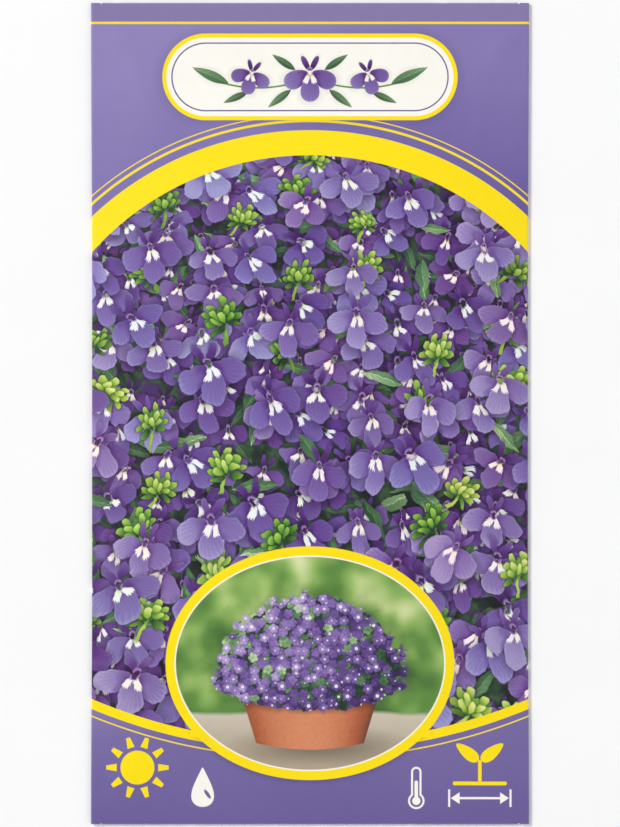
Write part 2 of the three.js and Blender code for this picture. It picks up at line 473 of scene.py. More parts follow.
def wire_nearest(net, point, spacing, shift):
    """The nearest motif: the way from its middle to the point, and its random colour."""
    place, middle, lot = scattered(net, point, spacing, shift, ("F1",))
    return net.vector_math("SUBTRACT", place, middle), lot


def wire_nearest_two(net, point, spacing, shift):
    """The same for the two nearest motifs, the lower one first. Which lies on top is drawn by lot,
    the same on both sides of a seam."""
    place, near, near_lot, far, far_lot = scattered(net, point, spacing, shift, ("F1", "F2"))
    swap = net.math("GREATER_THAN", net.xyz(near_lot)[2], net.xyz(far_lot)[2])
    return (
        net.vector_math("SUBTRACT", place, net.mix_vector(swap, near, far)),
        net.mix_vector(swap, near_lot, far_lot),
        net.vector_math("SUBTRACT", place, net.mix_vector(swap, far, near)),
        net.mix_vector(swap, far_lot, near_lot),
    )


def wire_layer(motif, scatter):
    """Wires one layer of a motif in a scatter over a picture, each copy turned, squeezed and toned
    by lot."""

    def wire(net, colour, point, spacing, size, turn, spread, presence, tone, sharp, shift):
        point = net.vector_math("MULTIPLY_ADD", colour, HOLD_BACK, point)
        found = net.use(scatter, point, spacing, shift)
        for offset, lot in zip(found[0::2], found[1::2]):
            first, second, third = net.xyz(lot)
            turned = net.turned(offset, net.line(first, spread, turn))
            wide, high = net.line(second, 0.30, 0.74), net.line(third, 0.25, 0.80)
            local = net.vector_math("DIVIDE", turned, net.join(size * wide, size * high, 1.0))
            own_tone = net.line(net.math("FRACT", second * 7.13), 0.34, tone - 0.05)
            inks, cover, shadow = net.use(motif, local, own_tone, sharp)
            inks = net.vector_math("MULTIPLY", inks, net.vector_math("MULTIPLY_ADD", lot, *TINT))
            there = net.math("LESS_THAN", net.math("FRACT", (first + third) * 9.7), presence)
            colour = net.scaled(colour, net.line(shadow * there, -0.45, 1.0))
            colour = net.blend(cover * there, colour, inks)
        return [colour]

    return wire


MOTIF_INPUTS = dict(Point="Vector", Tone="Float", Sharp="Float")
MOTIF_OUTPUTS = dict(Color="Color", Cover="Float", Shadow="Float")
SCATTER_INPUTS = dict(Point="Vector", Spacing="Float", Shift="Vector")
LAYER_INPUTS = dict(
    Color="Color", Point="Vector", Spacing="Float", Size="Float", Turn="Float", Spread="Float",
    Presence="Float", Tone="Float", Sharp="Float", Shift="Vector",
)


def build_layers():
    """The node groups of the motifs, and those that lay a layer of one, by how many copies may
    overlap in it."""
    top_one = {"Way": "Vector", "Lot": "Vector"}
    both = {"Low way": "Vector", "Low lot": "Vector", **top_one}
    scatters = {
        1: node_group("nearest", SCATTER_INPUTS, top_one, wire_nearest),
        2: node_group("nearest two", SCATTER_INPUTS, both, wire_nearest_two),
    }
    motifs, layers = {}, {}
    for kind, wire in (("bloom", wire_bloom), ("leaf", wire_leaf), ("buds", wire_buds)):
        motifs[kind] = node_group(kind, MOTIF_INPUTS, MOTIF_OUTPUTS, wire)
        for copies, scatter in scatters.items():
            name, wire_it = f"{kind} layer {copies}", wire_layer(motifs[kind], scatter)
            layers[kind, copies] = node_group(name, LAYER_INPUTS, dict(Color="Color"), wire_it)
    return motifs, layers


ALL_ROUND = (0.0, 2 * math.pi)


def leaning(degrees):
    """The lowest turn and the spread of turns, in radians, of motifs that lean up to some degrees
    either way."""
    return (-math.radians(degrees), 2 * math.radians(degrees))


# The picture's layers from the back to the front: the motif and how many copies may overlap, then
# its spacing, unit size, turns, the share of places that hold one, tone, sharpness, and the
# scatter's shift.
FIELD = (
    ("leaf", 1, 6.5, 4.4, ALL_ROUND, 0.95, -0.20, 3.0, (3, 1, 0)),
    ("bloom", 1, 6.6, 5.2, leaning(70), 1.00, -0.16, 3.5, (11, 5, 0)),
    ("leaf", 1, 8.0, 4.6, ALL_ROUND, 0.80, 0.0, 6.0, (5, 9, 0)),
    ("bloom", 2, 9.0, 5.9, leaning(55), 0.92, -0.06, 8.0, (21, 3, 0)),
    ("leaf", 2, 11.0, 4.8, ALL_ROUND, 0.60, 0.16, 9.0, (1, 19, 0)),
    ("bloom", 2, 10.5, 6.5, leaning(45), 0.85, 0.04, 12.0, (2, 33, 0)),
    ("buds", 1, 13.5, 4.1, leaning(50), 0.75, 0.04, 8.0, (7, 2, 0)),
    ("bloom", 2, 13.5, 7.3, leaning(40), 0.62, 0.12, 14.0, (9, 12, 0)),
)


def draw_field(net, point, layers):
    """The picture of blooms, leaves and buds over dark foliage. Motifs are larger towards the
    bottom, and a slow wobble keeps their outlines from being too regular."""
    _, y, _ = net.xyz(point)
    wobble = net.vector_math("SUBTRACT", net.noise(point, 0.24, 3.0, "Color"), (0.5, 0.5, 0.5))
    nearness = net.line(y, 0.0022, 1.05)
    spot = net.scaled(net.vector_math("ADD", point, net.scaled(wobble, 2.0)), nearness)
    colour = net.ramp(net.noise(point, 0.16, 3.0), FOLIAGE_INKS)
    for kind, copies, spacing, size, (turn, spread), presence, tone, sharp, shift in FIELD:
        values = (spacing, size, turn, spread, presence, tone - 0.07, sharp, shift)
        colour = net.use(layers[kind, copies], colour, spot, *values)[0]
    return colour


# ---------------------------------------------------------------- the printed design, on the flat sheet

YELLOW = ink(255, 226, 0)
CREAM = ink(250, 247, 238)
HEADER_INKS = ((0.0, ink(90, 75, 145)), (0.45, ink(112, 98, 162)), (1.0, ink(142, 129, 184)))
FOOTER_INKS = ((0.0, ink(106, 92, 152)), (0.6, ink(119, 106, 163)), (1.0, ink(143, 131, 181)))
STRIP_INK = ink(133, 120, 169)
STEM_INK = ink(96, 146, 60)

# The picture is the lens between two circles on the middle line, each with a yellow band round it,
# and an oval with its ring stands in it.
ARCH = dict(middle=-7.3, radius=54.3, band=4.6)
BASE = dict(middle=45.0, radius=105.0, band=1.7)
OVAL = dict(centre=(0.0, -45.5), inner=(24.5, 19.5), outer=(26.4, 21.4))
PLATE = dict(centre=(0.0, 61.4), reach=19.0, half=7.2, rim=0.75)
STRIP_FROM = 71.3
PRINT_SOFT = 0.12  # how soft a printed edge is, in millimetres
OVAL_SOFT = 0.006  # the same, as a share of the oval's half height
FOLD_LINE = 40.2  # where the sheet turns over the packet's long sides
END_FOLD_LINE = 75.2  # and over its ends
BACK_MIDDLE = 80.34  # from the front's middle line to the back's, on the flat sheet
LAP_EDGE = BACK_MIDDLE - PACKET.lap[0]  # where the sheet's outer long edge lies
WORN_INK = ink(232, 226, 232)


def inside(net, outside, edge=0.0):
    """1 where a shape's outside distance is below edge."""
    return net.step(outside, edge, -PRINT_SOFT)


def from_circle(net, point, circle, above_only=False):
    """How far the point lies outside a circle whose middle is on the middle line. Below its middle,
    an arch goes on straight down instead."""
    local = net.seen_from(point, (0.0, circle["middle"]))
    if above_only:
        local = net.vector_math("MAXIMUM", local, (-1000.0, 0.0, 0.0))
    return net.length(local) - circle["radius"]


def oval_mask(net, point, size, margin=0.0, soft=OVAL_SOFT):
    """1 in the oval of the given half width and half height, both made larger by a margin."""
    size = [half + margin for half in size]
    return net.step(net.length(net.seen_from(point, OVAL["centre"], 0.0, size)), 1.0, -soft)


def bar(net, point, centre, turn, reach, half):
    """A straight bar with round ends: how far the point lies outside it."""
    along, across, _ = net.xyz(net.seen_from(point, centre, turn))
    return net.length(net.join(net.most(abs(along) - reach, 0.0), across)) - half


def lay(net, motif, colour, point, centre, turn, size, tone, sharp, shade):
    """One motif laid on the colour with its own soft shade."""
    point = net.vector_math("MULTIPLY_ADD", colour, HOLD_BACK, point)
    seen = net.seen_from(point, centre, turn, (size, size))
    inks, cover, shadow = net.use(motif, seen, tone, sharp)
    return net.blend(cover, net.scaled(colour, net.line(shadow, -shade, 1.0)), inks)


def draw_picture(net, point, layers):
    """The field of blooms, and the yellow of the bands that border on it."""
    in_arch = inside(net, from_circle(net, point, ARCH, above_only=True))
    in_base = inside(net, from_circle(net, point, BASE))
    off_oval = 1.0 - oval_mask(net, point, OVAL["outer"])
    window = net.least(in_arch, in_base, off_oval)
    return net.blend(window, YELLOW, draw_field(net, point, layers))


# The sprig on the plate: each leaf's centre, turn, size and tone, the same on both sides.
SPRIG_LEAVES = (
    ((18.2, 61.7), 24, 3.7, 0.10),
    ((13.6, 57.6), -24, 2.5, 0.0),
    ((5.6, 57.4), -38, 2.7, 0.06),
    ((4.8, 64.1), 34, 2.6, -0.04),
)
SPRIG_STEM = dict(centre=(9.5, 84.0), radius=24.6, half=0.16, ends=17.0)


def draw_header(net, point, motifs):
    """Above the picture: a band along the arch with two hairlines, a strip along the top, and a pale
    plate with a sprig of three blooms."""
    x, y, _ = net.xyz(point)
    mirrored = net.join(abs(x), y)
    light = net.line(y, 0.016, net.line(x, -0.004, -0.32))
    colour = net.ramp(net.line(net.noise(point, 0.035, 1.0), 0.35, light), HEADER_INKS)
    arch = from_circle(net, point, ARCH, above_only=True)
    hairlines = net.most(net.band(arch, 6.3, 0.22, 0.12), net.band(arch, 7.4, 0.1, 0.1))
    colour = net.blend(hairlines, colour, YELLOW)
    plate = bar(net, point, PLATE["centre"], 0.0, PLATE["reach"], PLATE["half"])
    colour = net.scaled(colour, net.line(net.step(plate, 1.4, -2.4), -0.18, 1.0))
    colour = net.blend(inside(net, plate, PLATE["rim"]), colour, YELLOW)
    colour = net.blend(inside(net, plate), colour, CREAM)
    colour = net.blend(net.band(plate, -1.0, 0.12, 0.1), colour, HEADER_INKS[0][1])
    off_stem = net.length(net.seen_from(mirrored, SPRIG_STEM["centre"])) - SPRIG_STEM["radius"]
    stem = net.band(off_stem, 0.0, SPRIG_STEM["half"], 0.1)
    colour = net.blend(net.least(stem, net.step(abs(x), SPRIG_STEM["ends"], -0.2)), colour, STEM_INK)
    for centre, turn, size, tone in SPRIG_LEAVES:
        colour = lay(net, motifs["leaf"], colour, mirrored, centre, turn, size, tone, 9.0, 0.12)
    colour = lay(net, motifs["bloom"], colour, mirrored, (10.6, 62.2), 14, 3.9, 0.04, 14.0, 0.16)
    colour = lay(net, motifs["bloom"], colour, point, (0.0, 62.3), 0, 5.2, 0.06, 16.0, 0.16)
    colour = net.blend(inside(net, arch, ARCH["band"]), colour, YELLOW)
    colour = net.blend(net.step(y, STRIP_FROM, PRINT_SOFT), colour, STRIP_INK)
    return net.blend(net.band(y, STRIP_FROM, 0.2, 0.12), colour, YELLOW)


# ---------------------------------------------------------------- signs, each a mask about its own middle


def sun_sign(net, point, rays, disc, ray, taper):
    """A disc with rays round it. ray gives a ray's middle, half length and half width at the disc's
    middle, from which it narrows outwards by the taper."""
    folded, radius = rosette(net, point, rays)
    along, across, _ = net.xyz(folded)
    middle, reach, half = ray
    beam = net.step(abs(across), net.line(along, -taper, half), -PRINT_SOFT)
    beam = net.least(beam, inside(net, abs(along - middle), reach))
    return net.most(inside(net, radius, disc), beam)


def drop_sign(net, point):
    """A drop with its point up and a glint."""
    drop, _ = lobe(net, point, -90, 0.0, 3.6, 1.75, 0.72)
    glint, _ = lobe(net, point, -55, 1.55, 1.0, 0.32, 0.0)
    return net.step(drop, 1.0, -0.06) * net.step(glint, 1.0, 0.3)


def thermometer_sign(net, point):
    """The outline of a tube and its bulb, filled to the middle."""
    tube = bar(net, point, (0.0, 0.9), 90, 2.3, 0.95)
    bulb = net.length(net.seen_from(point, (0.0, -2.1))) - 1.5
    outline = net.band(net.least(tube, bulb), -0.18, 0.18, PRINT_SOFT)
    filling = net.least(bar(net, point, (0.0, -0.4), 90, 1.7, 0.32), bulb + 0.75)
    return net.most(outline, inside(net, filling))


def seedling_sign(net, point):
    """Two leaves on a short stem, 10 wide."""
    x, y, _ = net.xyz(point)
    leaf, _ = lobe(net, net.join(abs(x), y), 38, 2.9, 2.5, 1.05, -0.35)
    stem = bar(net, point, (0.0, -1.6), 90, 1.7, 0.32)
    return net.most(net.step(leaf, 1.0, -0.08), inside(net, stem))


def arrow_sign(net, point, reach, head, stroke):
    """A level line with a head at each end, one and a half times as long as half its height."""
    x, y, _ = net.xyz(point)
    wide, high = abs(x), abs(y)
    slope = inside(net, net.line(high, 1.5, wide), reach)
    heads = net.least(slope, net.step(wide, reach - head, PRINT_SOFT))
    shaft = net.least(inside(net, high, stroke), inside(net, wide, reach - head / 2))
    return net.most(heads, shaft)


SIGN_PLACES = dict(
    sun=(-31.5, -64.6), water=(-19.6, -68.2), warmth=(19.4, -68.6), plant=(31.0, -63.6),
    spacing=(31.0, -70.2),
)


def draw_signs(net, colour, point):
    """Signs for sun and water on the left, and for warmth and a plant's spacing on the right."""
    seen = {name: net.seen_from(point, centre) for name, centre in SIGN_PLACES.items()}
    sun = sun_sign(net, seen["sun"], 10, 3.1, (4.75, 0.95, 1.28), 0.16)
    soil = inside(net, bar(net, seen["plant"], (0.0, -3.9), 0, 4.6, 0.34))
    plant = net.most(seedling_sign(net, seen["plant"]), soil)
    wide, high, _ = net.xyz(seen["spacing"])
    posts = net.least(net.band(abs(wide), 5.6, 0.18, PRINT_SOFT), inside(net, abs(high), 1.6))
    spacing = net.most(arrow_sign(net, seen["spacing"], 5.3, 1.6, 0.2), posts)
    water, warmth = drop_sign(net, seen["water"]), thermometer_sign(net, seen["warmth"])
    colour = net.blend(net.most(sun, plant), colour, YELLOW)
    return net.blend(net.most(water, warmth, spacing), colour, CREAM)


# ---------------------------------------------------------------- the oval's picture, about its middle

MOUND_INKS = (
    (0.0, ink(48, 32, 74)), (0.3, ink(78, 52, 116)), (0.6, ink(116, 88, 158)), (0.85, ink(156, 130, 192)),
    (1.0, ink(184, 164, 212)),
)
BOWL_INKS = (
    (0.0, ink(98, 50, 34)), (0.45, ink(178, 96, 62)), (0.75, ink(214, 136, 96)), (1.0, ink(226, 160, 120)),
)
GARDEN_INKS = (
    (0.0, ink(58, 96, 46)), (0.35, ink(98, 142, 66)), (0.6, ink(146, 182, 96)), (0.8, ink(190, 208, 140)),
    (1.0, ink(226, 230, 184)),
)
TABLE_INKS = (ink(176, 160, 138), ink(206, 196, 178))

# Two scatters of tiny blooms over each other: cells a millimetre, shift, and from which lot on a
# cell holds a leaf instead, and tone.
MOUND_SCATTERS = ((0.70, (3.0, 7.0, 0.0), 0.70, -0.10), (0.55, (9.0, 2.0, 0.0), 0.93, 0.06))


def draw_garden(net, point):
    """Out-of-focus green behind a pale table, with the bowl's soft shade on the table."""
    _, y, _ = net.xyz(point)
    blur = net.noise(point, 0.14, 1.0)
    colour = net.ramp(net.line(blur, 1.1, net.line(y, 0.012, -0.16)), GARDEN_INKS)
    table = net.blend(net.step(y, -13.0, 8.0), *TABLE_INKS)
    colour = net.blend(net.step(net.line(blur, 1.2, y), -8.6, -0.8), colour, table)
    shade = net.length(net.seen_from(point, (1.8, -15.0), 0.0, (13.5, 3.0)))
    return net.scaled(colour, net.line(net.step(shade, 0.85, -0.9), -0.5, 1.0))


def lay_bowl(net, colour, point):
    """A clay bowl that narrows downwards, with a curved foot, lit from the left as a round thing is:
    the light is the square root of (1 − s)(1 + 0.9 s), s being the share of the way to its side."""
    x, y, _ = net.xyz(point)
    share = x / net.line(y, 0.30, 14.2)
    foot = net.step(net.line(share * share, -1.2, y), -15.8, 0.15)
    body = net.step(abs(share), 1.0, -0.02) * foot * net.step(y, -5.5, -0.2)
    roundness = net.math("SQRT", net.most((1.0 - share) * net.line(share, 0.9, 1.0), 0.0))
    light = net.line(net.noise(point, 1.4, 3.0), 0.16, net.line(roundness, 0.85, -0.16))
    inks = net.ramp(light, BOWL_INKS)
    below_rim = net.step(net.line(share * share, -1.0, y), -8.6, 1.6)
    return net.blend(body, colour, net.scaled(inks, net.line(below_rim, -0.42, 1.0)))


def lay_mound(net, colour, point):
    """A heap of tiny blooms: a dome with a ragged edge that hangs over the bowl's rim. It is lit from
    the upper left, and slow noise clumps it."""
    x, y, _ = net.xyz(point)
    dome = net.length(net.seen_from(point, (0.0, -3.5), 0.0, (17.5, 16.0)))
    skirt = net.length(net.seen_from(point, (0.0, -3.0), 0.0, (17.0, 5.5)))
    within = net.least(net.most(dome, net.step(y, -2.5, -0.5) * 9.0), skirt)
    within = net.line(net.noise(point, 0.55, 2.0), 0.3, within - 0.15)
    clumps = net.noise(point, 0.3, 2.0)
    under = net.line(net.noise(point, 1.3, 2.0), 0.8, net.line(within, -0.15, -0.1))
    heap = net.ramp(under, LEAF_INKS)
    for cells, shift, leafy_from, tone in MOUND_SCATTERS:
        place = net.vector_math("ADD", point, shift)
        place = net.vector_math("MULTIPLY_ADD", heap, HOLD_BACK, place)
        inputs = {"Vector": place, "Scale": cells, "Randomness": 0.85}
        found = net.node("TexVoronoi", inputs, voronoi_dimensions="2D")
        first, second, third = net.xyz(Flow(net, found.outputs["Color"]))
        way = net.vector_math("SUBTRACT", place, Flow(net, found.outputs["Position"]))
        petal, radius = rosette(net, net.turned(way, first * 6.0), 5)
        along, across, _ = net.xyz(petal)
        edge = net.length(net.join(net.line(along, 2.3, -1.15), across * 2.6))
        lit = net.line(y, 0.018, net.line(x, -0.013, net.line(second, 0.34, tone + 0.24)))
        lit = net.line(clumps, 0.7, net.line(within, -0.16, net.line(edge, -0.12, lit)))
        leafy = net.step(third, leafy_from, 0.02)
        inks = net.blend(leafy, net.ramp(lit, MOUND_INKS), net.ramp(lit + 0.06, LEAF_INKS))
        eye = net.step(radius - second * 0.34, -0.03, -0.14) * net.step(third, 0.85, -0.02)
        inks = net.blend(eye, inks, EYE_INK)
        heap = net.scaled(heap, net.line(net.step(edge, 1.4, -0.8), -0.4, 1.0))
        heap = net.blend(net.step(edge, 1.05, -0.3), heap, inks)
    colour = net.scaled(colour, net.line(net.step(within, 1.05, -0.3), -0.35, 1.0))
    return net.blend(net.step(within, 1.0, -0.05), colour, heap)


def wire_oval(net, point):
    """A clay bowl heaped with tiny blooms before a blurred garden."""
    return [lay_mound(net, lay_bowl(net, draw_garden(net, point), point), point)]


def draw_lower(net, point, oval_picture):
    """Below the picture: the base with its band and signs, and the oval with its ring."""
    x, y, _ = net.xyz(point)
    light = net.line(y, 0.034, net.line(x, -0.002, 2.4))
    colour = net.ramp(net.line(net.noise(point, 0.04, 1.0), 0.3, light), FOOTER_INKS)
    base = from_circle(net, point, BASE)
    colour = net.blend(net.band(base, 2.9, 0.12, 0.1), colour, YELLOW)
    colour = draw_signs(net, colour, point)
    colour = net.blend(inside(net, base, BASE["band"]), colour, YELLOW)
    near_ring = oval_mask(net, point, OVAL["outer"], 0.5, 0.05)
    colour = net.scaled(colour, net.line(near_ring, -0.25, 1.0))
    colour = net.blend(oval_mask(net, point, OVAL["outer"]), colour, YELLOW)
    colour = net.blend(oval_mask(net, point, OVAL["inner"], 0.25), colour, CREAM)
    picture = net.use(oval_picture, net.seen_from(point, OVAL["centre"]))[0]
    return net.blend(oval_mask(net, point, OVAL["inner"]), colour, picture)


# ---------------------------------------------------------------- the back

PANEL_INK = ink(249, 247, 243)
LILAC_INK = ink(196, 188, 218)
GRASS_INK = ink(122, 178, 52)
SOIL_INK = ink(112, 78, 54)
NOTES_INK = ink(241, 238, 247)
RULE_INK = ink(160, 150, 190)
SUN_INK = ink(240, 190, 10)

PANEL = dict(half=(35.6, 51.0), middle=1.0, frame=1.7)
CALENDAR = dict(cell=(5.0, 5.4), cells=(12, 3), low=(-30.0, 18.2))
SIGN_BOX = dict(pitch=22.0, middle=4.6, half=8.0)
NOTES = dict(half=(29.0, 14.0), middle=-27.5, corner=3.0, pitch=6.0)

# The calendar's bars, one a row, for planting out, sowing and bloom: middle, reach and ink.
CALENDAR_BARS = (
    ((-15.0, 31.7), 6.0, GRASS_INK),
    ((-3.5, 26.3), 3.8, ink(240, 196, 20)),
    ((8.5, 20.9), 10.4, HEADER_INKS[1][1]),
)


def lay_calendar(net, colour, point):
    """A grid of months with a bar along each row."""
    x, y, _ = net.xyz(point)
    (wide, high), (count, rows), (left, low) = CALENDAR["cell"], CALENDAR["cells"], CALENDAR["low"]
    across, up = net.line(x, 1 / wide, -left / wide), net.line(y, 1 / high, -low / high)
    in_column = net.band(net.math("FRACT", across), 0.5, 0.46, 0.03)
    in_row = net.band(net.math("FRACT", up), 0.5, 0.46, 0.03)
    grid = net.blend(net.least(in_column, in_row), LILAC_INK, PANEL_INK)
    for middle, reach, bar_ink in CALENDAR_BARS:
        grid = net.blend(inside(net, bar(net, point, middle, 0, reach, 1.2)), grid, bar_ink)
    on_grid = net.least(
        net.band(across, count / 2, count / 2, 0.02), net.band(up, rows / 2, rows / 2, 0.02)
    )
    return net.blend(on_grid, colour, grid)


def lay_sign_boxes(net, colour, point):
    """Three signs in boxes: how deep to sow, how far apart, and where the sun stands."""
    x, y, _ = net.xyz(point)
    box_number = net.math("ROUND", x / SIGN_BOX["pitch"])
    x, y = x - box_number * SIGN_BOX["pitch"], y - SIGN_BOX["middle"]
    local = net.join(x, y)
    from_middle = net.most(abs(x), abs(y))
    box = net.blend(net.step(from_middle, SIGN_BOX["half"], PRINT_SOFT), PANEL_INK, LILAC_INK)

    sun_box = net.blend(sun_sign(net, local, 12, 2.6, (4.6, 1.1, 0.34), 0.0), box, SUN_INK)

    surface = net.line(net.noise(point, 0.9, 2.0), 0.9, y)
    soil = net.least(net.step(surface, 0.9, -0.15), inside(net, from_middle, SIGN_BOX["half"] - 0.1))
    grain = net.length(net.seen_from(local, (-0.4, -3.4), 20.0, (1.25, 0.9)))
    shaft = inside(net, bar(net, local, (4.6, -1.0), 90, 1.7, 0.2))
    head = net.line(abs(x - 4.6), 1.4, abs(y + 2.6))
    head = net.least(net.step(head, 1.5, -0.15), net.step(y, -2.6, -0.1))
    depth = net.most(net.step(grain, 1.0, -0.1), shaft, head)
    soil_box = net.blend(depth, net.blend(soil, box, SOIL_INK), CREAM)

    pair = net.seen_from(net.join(abs(x), y), (4.0, 0.0), 0.0, (0.7, 0.7))
    twin_box = net.blend(seedling_sign(net, pair), box, GRASS_INK)
    spacing = arrow_sign(net, net.seen_from(local, (0.0, -4.6)), 4.0, 1.1, 0.18)
    twin_box = net.blend(spacing, twin_box, HEADER_INKS[0][1])

    boxes = net.blend(net.step(box_number, -0.5, 0.1), soil_box, twin_box)
    boxes = net.blend(net.step(box_number, 0.5, 0.1), boxes, sun_box)
    on_box = inside(net, from_middle, SIGN_BOX["half"] + 0.4)
    return net.blend(net.least(net.step(abs(box_number), 1.5, -0.1), on_box), colour, boxes)


def lay_notes(net, colour, point):
    """Lines to write on, in a pale rounded field."""
    x, y, _ = net.xyz(point)
    (half_width, half_height), middle = NOTES["half"], NOTES["middle"]
    beyond_x = net.most(abs(x) - half_width, 0.0)
    beyond_y = net.most(abs(y - middle) - half_height, 0.0)
    field = net.length(net.join(beyond_x, beyond_y))
    share = net.math("FRACT", net.line(y, 1 / NOTES["pitch"], 0.25))
    rule = net.least(net.band(share, 0.5, 0.018, 0.02), net.step(field, 0.1, -0.2))
    return net.blend(inside(net, field, NOTES["corner"]), colour, net.blend(rule, NOTES_INK, RULE_INK))


def draw_back(net, point, motifs):
    """The packet's back, as seen from behind, with its flaps: a pale panel between two violet ends
    holds a sprig, a calendar of twelve months, three signs and a field for notes."""
    along, y, _ = net.xyz(point)
    x = along - net.math("SIGN", along) * BACK_MIDDLE
    point = net.join(x, y)
    mirrored = net.join(abs(x), y)
    (half_width, half_height), middle = PANEL["half"], PANEL["middle"]
    from_panel = net.most(abs(x) - half_width, abs(y - middle) - half_height)
    light = net.line(y, 0.006, net.line(net.noise(point, 0.04, 1.0), 0.3, 0.3))
    ground = net.ramp(light, HEADER_INKS)
    ground = net.blend(net.band(from_panel, PANEL["frame"], 0.35, PRINT_SOFT), ground, YELLOW)
    colour = net.blend(inside(net, from_panel), ground, PANEL_INK)
    colour = lay(net, motifs["leaf"], colour, mirrored, (8.0, 44.0), 14, 4.4, 0.1, 9.0, 0.1)
    colour = lay(net, motifs["bloom"], colour, point, (0.0, 45.0), 0, 5.0, 0.06, 14.0, 0.14)
    colour = lay_calendar(net, colour, point)
    colour = lay_sign_boxes(net, colour, point)
    return lay_notes(net, colour, point)


# ---------------------------------------------------------------- folded bags

PITCH = 1.0  # how far apart the lines of a bag's grid lie on the front and the flaps, about
# How many steps the grid takes over the lap, where the inner back panel settles, over the rest of
# the inner and over the outer back panel, beside a flap's root, round a fold and round a corner.
LAP_STEPS, SETTLE_STEPS, INNER_STEPS, OUTER_STEPS = 8, 10, 13, 22
BESIDE_STEPS, FOLD_STEPS, CORNER_STEPS = 4, 10, 8
SHARP_ANGLE = 40  # faces that meet at more than this look creased


def smooth(t):
    """3t² − 2t³, with t held between 0 and 1."""
    t = np.clip(t, 0, 1)
    return t * t * (3 - 2 * t)


def as_points(*coordinates):
    """Arrays of coordinates, stretched to one shape, as one array of points."""
    return np.stack(np.broadcast_arrays(*coordinates), axis=-1)


def bulge_along(bag, y):
    """Share of the full bulge at y: smooth(way up from the bottom's flat end / reach) times the
    same from the top."""
    return smooth((bag.flat + y) / bag.reach[0]) * smooth((bag.flat - y) / bag.reach[1])


def runs(*stops):
    """Even steps through the given stops, as (stop, steps to the next one) pairs with the last stop
    alone."""
    parts = [np.linspace(a, b, steps, endpoint=False) for (a, steps), (b, _) in zip(stops, stops[1:])]
    return np.concatenate(parts + [np.array([stops[-1][0]])])


def around(bag):
    """Stops round the wrapped sheet, from the inner back panel's hidden edge over the left fold,
    the front and the right fold to the outer back panel's edge.

    For each stop: c, its place across as a share of the half width between the folds; a, the angle
    of its face above the horizontal in the fold's half circle, 90° on the front and −90° on the
    back; side, −1 before the front, 0 on it and 1 after it; and lift, by how much the lap raises
    the inner panel.
    """
    half, root, (lap_from, lap_to) = bag.half, bag.root / 2, bag.lap
    settling, settled = lap_from - SETTLE, lap_from - 2 * SETTLE
    inner = runs((lap_to, LAP_STEPS), (settling, SETTLE_STEPS), (settled, INNER_STEPS), (-half, 0))
    front = runs((-half, BESIDE_STEPS), (-root, round(2 * root / PITCH)), (root, BESIDE_STEPS), (half, 0))
    outer = runs((half, OUTER_STEPS), (lap_from, 0))
    fold = np.linspace(-90, 90, FOLD_STEPS + 1)[1:-1]
    place = np.concatenate([inner, np.full(fold.size, -half), front, np.full(fold.size, half), outer])
    flat_below, flat_above = np.full(inner.size, -90), np.full(front.size, 90)
    angle = np.concatenate([flat_below, fold, flat_above, fold[::-1], np.full(outer.size, -90)])
    side = np.repeat([-1, 0, 1], [inner.size + fold.size, front.size, outer.size + fold.size])
    lift = np.zeros(place.size)
    lift[: inner.size] = (bag.sheet + SEAM_GAP) * smooth((inner - settled) / SETTLE)
    return place / half, np.radians(angle), side, lift


def on_root(bag, c, side):
    """Which stops round the sheet a flap grows from."""
    return (side == 0) & (abs(c) * bag.half < bag.root / 2 + 1e-6)


def wrapped_sheet(bag, relief, inset):
    """The sheet wrapped round the bag, as a grid of rows along Y and stops round it.

    x = c·h + side·(r − inset)·cos a and z = m + (r − inset)·sin a + lift, where r is the folds'
    radius, m their middle's height and h = half width − pull-in·bulge(y) − r. The front adds
    rise·(1 − c²)·bulge(y) and its relief. Beside the flaps' roots the cut ends run on by
    CORNER_REACH, so that the corners are square. inset is 0 for the outer face, and the sheet's
    thickness for the inner one.
    """
    c, angle, side, lift = around(bag)
    y = runs((-bag.end, 2), (-bag.flat, round(2 * bag.flat / PITCH)), (bag.flat, 2), (bag.end, 0))[:, None]
    bulge = bulge_along(bag, y)
    half = bag.half - bag.pull_in * bulge
    x = c * half + side * (bag.radius - inset) * np.cos(angle)
    cut = (abs(c) * bag.width > bag.root) & ~on_root(bag, c, side)
    y = y + np.sign(y) * (abs(y) > bag.end - 1e-6) * cut * CORNER_REACH
    z = bag.sheet + bag.radius + (bag.radius - inset) * np.sin(angle) + lift
    z = z + (side == 0) * (bag.rise * (1 - c * c) * bulge + relief(c * half, y))
    return as_points(x, y, z)


def flap_reach(bag, flap):
    """Rows of a flap from its fold to its tip. For each row: the fold's angle, from 90° down to
    −90°, how far it lies beyond the fold, and half the flap's width there, which tapers from root
    to tip and rounds off at the corners."""
    depth, corner = flap["depth"], flap["corner"]
    angle = np.radians(np.linspace(90, -90, FOLD_STEPS + 1)[1:])
    corner_turn = np.linspace(0, math.pi / 2, CORNER_STEPS + 1)[1:-1]
    straight = np.linspace(0, depth - corner, 1 + round((depth - corner) / PITCH))[1:]
    rounded = depth - corner * (1 - np.sin(corner_turn))
    out = np.concatenate([0 * angle, straight, rounded, [depth - 0.01 * corner]])
    width = bag.root / 2 - (bag.root - flap["tip"]) / 2 * out / depth
    into_corner = np.clip((out - depth + corner) / corner, 0, 1)
    width = width - corner * (1 - np.sqrt(1 - into_corner**2))
    return np.concatenate([angle, np.full(out.size - angle.size, -math.pi / 2)]), out, width


